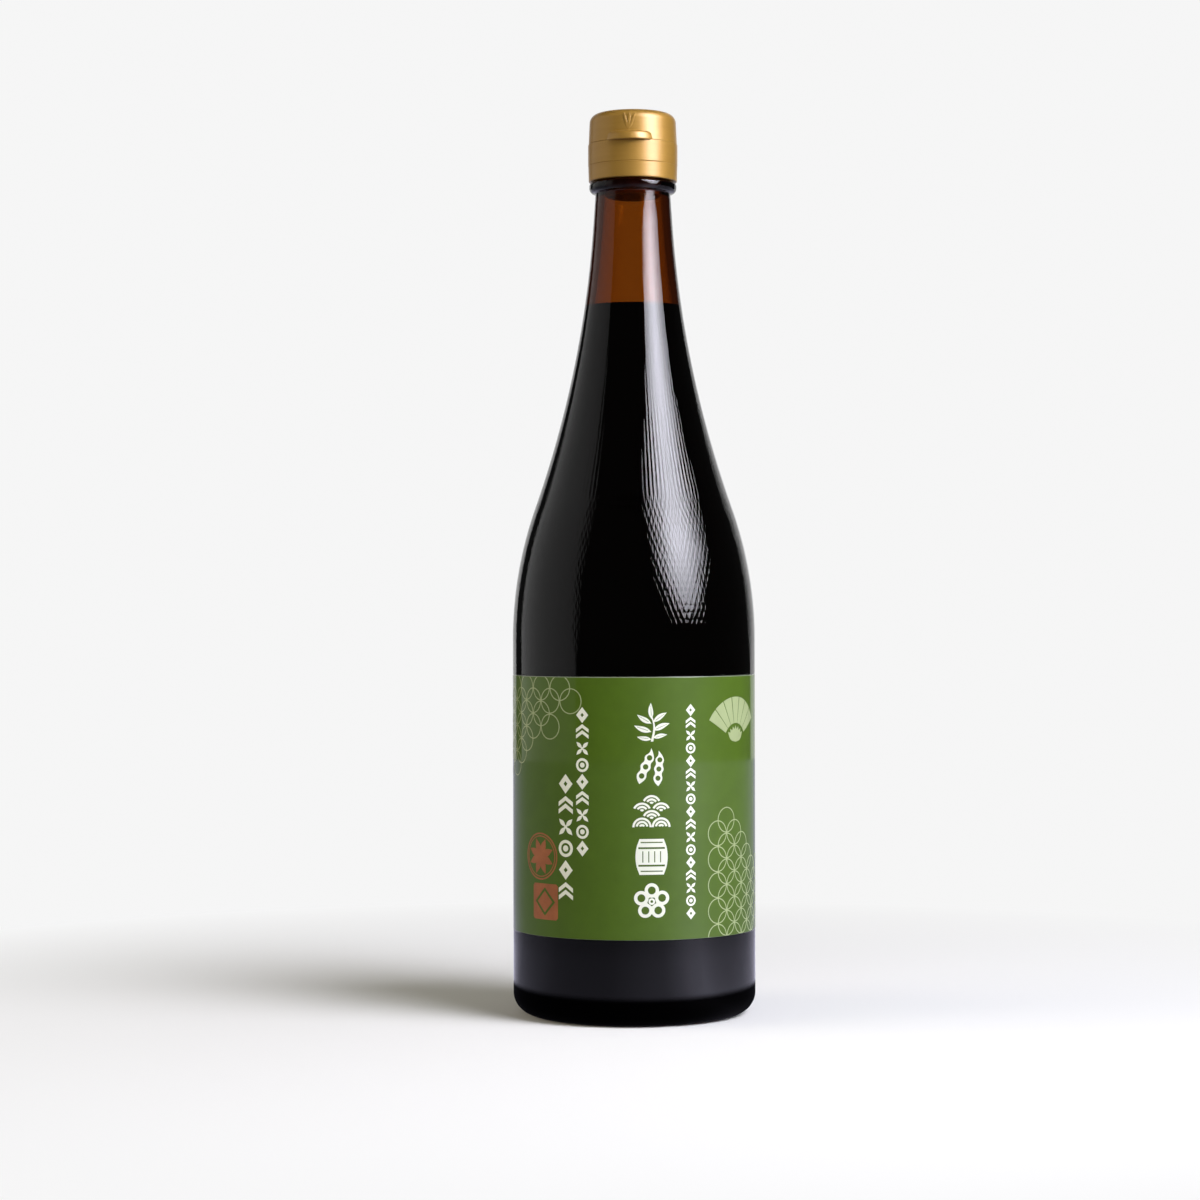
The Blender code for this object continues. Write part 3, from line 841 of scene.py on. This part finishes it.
finish, light = glow("softbox glow")
tree = finish.node_tree
place = add(tree, "ShaderNodeTexCoord").outputs["Object"]
from_middle = add(tree, "ShaderNodeVectorMath", place, (*SOFTBOX_MIDDLE, 0.0), operation="SUBTRACT").outputs[0]
share = add(tree, "ShaderNodeVectorMath", from_middle, (*SOFTBOX_SIZE, 1.0), operation="DIVIDE").outputs[0]
fall = ramp(tree, add(tree, "ShaderNodeVectorMath", share, operation="LENGTH").outputs["Value"], SOFTBOX_FALL)
tree.links.new(calc(tree, "MULTIPLY", fall, SOFTBOX_POWER), light.inputs["Strength"])
light.inputs["Color"].default_value = SOFTBOX_TINT
face = bmesh.new()
bmesh.ops.create_circle(face, cap_ends=True, segments=8, radius=1.0 / math.cos(math.pi / 8.0),
                        matrix=Matrix.Diagonal((*SOFTBOX_SIZE, 1.0, 1.0)) @ Matrix.Rotation(math.pi / 8.0, 4, "Z"))
softbox = stage_piece("softbox", face, finish)
softbox.location = AIM + SOFTBOX_DISTANCE * direction(*SOFTBOX_PLACE)
softbox.rotation_euler = direction(*SOFTBOX_PLACE).to_track_quat("Z", "Y").to_euler()
softbox.visible_camera = False

finish, light = glow("wall glow")
tree = finish.node_tree
place = add(tree, "ShaderNodeTexCoord").outputs["Object"]
tree.links.new(round_ramp(tree, place, WALL_BANDS), light.inputs["Strength"])
upright = bmesh.new()
ends = [upright.verts.new((0.0, WALL_RADIUS, height)) for height in (-0.01, WALL_HEIGHT)]
upright.edges.new(ends)
bmesh.ops.spin(upright, geom=upright.verts[:] + upright.edges[:], cent=(0.0, 0.0, 0.0), axis=(0.0, 0.0, 1.0),
               angle=2.0 * math.pi, steps=96, use_merge=True)
wall = stage_piece("wall", upright, finish)
wall.visible_camera = False
wall.visible_diffuse = False
wall.visible_transmission = False
wall.visible_shadow = False

reflector = bpy.data.objects.new("reflector", bpy.data.lights.new("reflector", "AREA"))
reflector.data.size = 1.0
reflector.data.energy = BOUNCE_POWER
reflector.data.color = BOUNCE_TINT
reflector.location = AIM + 1.5 * direction(*BOUNCE_PLACE)
reflector.rotation_euler = direction(*BOUNCE_PLACE).to_track_quat("Z", "Y").to_euler()
reflector.visible_camera = False
reflector.visible_glossy = False
reflector.visible_transmission = False
bpy.context.scene.collection.objects.link(reflector)

finish, glare = glow("pale floor")
tree = finish.node_tree
rays = add(tree, "ShaderNodeLightPath").outputs
place = add(tree, "ShaderNodeTexCoord").outputs["Object"]
out = add(tree, "ShaderNodeVectorMath", place, operation="LENGTH").outputs["Value"]
matt = tree.nodes.new("ShaderNodeBsdfDiffuse")
matt.inputs["Color"].default_value = (0.8, 0.8, 0.77, 1.0)
glare.inputs["Strength"].default_value = PALE
near = tree.nodes.new("ShaderNodeMixShader")
tree.links.new(ramp(tree, out, ((0.1, 0.0), (0.36, 1.0))), near.inputs[0])
tree.links.new(matt.outputs[0], near.inputs[1])
tree.links.new(glare.outputs[0], near.inputs[2])
# Painted reflection: glossy rays see the floor's glow, with its painted shadow round the foot and painted light on
# the softbox's side; diffuse rays see an even glow, as a fill light.
mirrored = add(tree, "ShaderNodeEmission", FLOOR_TINT)
sides = round_ramp(tree, place, FLOOR_LIGHT_ROUND, FLOOR_MOST)
painted_floor_glow = calc(tree, "MULTIPLY", sides, calc(tree, "MULTIPLY", ramp(tree, out, FLOOR_SHADOW_AND_FADE), FLOOR_MOST))
tree.links.new(painted_floor_glow, mirrored.inputs["Strength"])
bounce = tree.nodes.new("ShaderNodeEmission")
bounce.inputs["Strength"].default_value = FILL
seen = tree.nodes.new("ShaderNodeMixShader")
tree.links.new(rays["Is Glossy Ray"], seen.inputs[0])
tree.links.new(near.outputs[0], seen.inputs[1])
tree.links.new(mirrored.outputs[0], seen.inputs[2])
lit = tree.nodes.new("ShaderNodeMixShader")
tree.links.new(rays["Is Diffuse Ray"], lit.inputs[0])
tree.links.new(seen.outputs[0], lit.inputs[1])
tree.links.new(bounce.outputs[0], lit.inputs[2])
tree.links.new(lit.outputs[0], tree.nodes["Material Output"].inputs["Surface"])
ground = bmesh.new()
bmesh.ops.create_circle(ground, cap_ends=True, segments=96, radius=6.0)
floor = stage_piece("floor", ground, finish)
floor.location = (0.0, 0.0, -0.0001)

world = bpy.data.worlds.new("studio")
world.use_nodes = True
bpy.context.scene.world = world
tree = world.node_tree
rays = add(tree, "ShaderNodeLightPath").outputs
seen = calc(tree, "MAXIMUM", rays["Is Camera Ray"], rays["Is Transmission Ray"])
other = calc(tree, "MULTIPLY_ADD", rays["Is Diffuse Ray"], FILL - DARK, DARK)
strength = calc(tree, "MULTIPLY_ADD", seen, PALE - DARK, other)
# Painted shade: the world is dimmer for rays mirrored at least once, which darkens the glass towards its edges.
shade_after_mirror = calc(tree, "MULTIPLY_ADD", calc(tree, "GREATER_THAN", rays["Glossy Depth"], 0.5), MIRRORED_SHADE - 1.0, 1.0)
tree.links.new(calc(tree, "MULTIPLY", strength, shade_after_mirror), tree.nodes["Background"].inputs["Strength"])
tree.nodes["Background"].inputs["Color"].default_value = (1.0, 1.0, 1.0, 1.0)
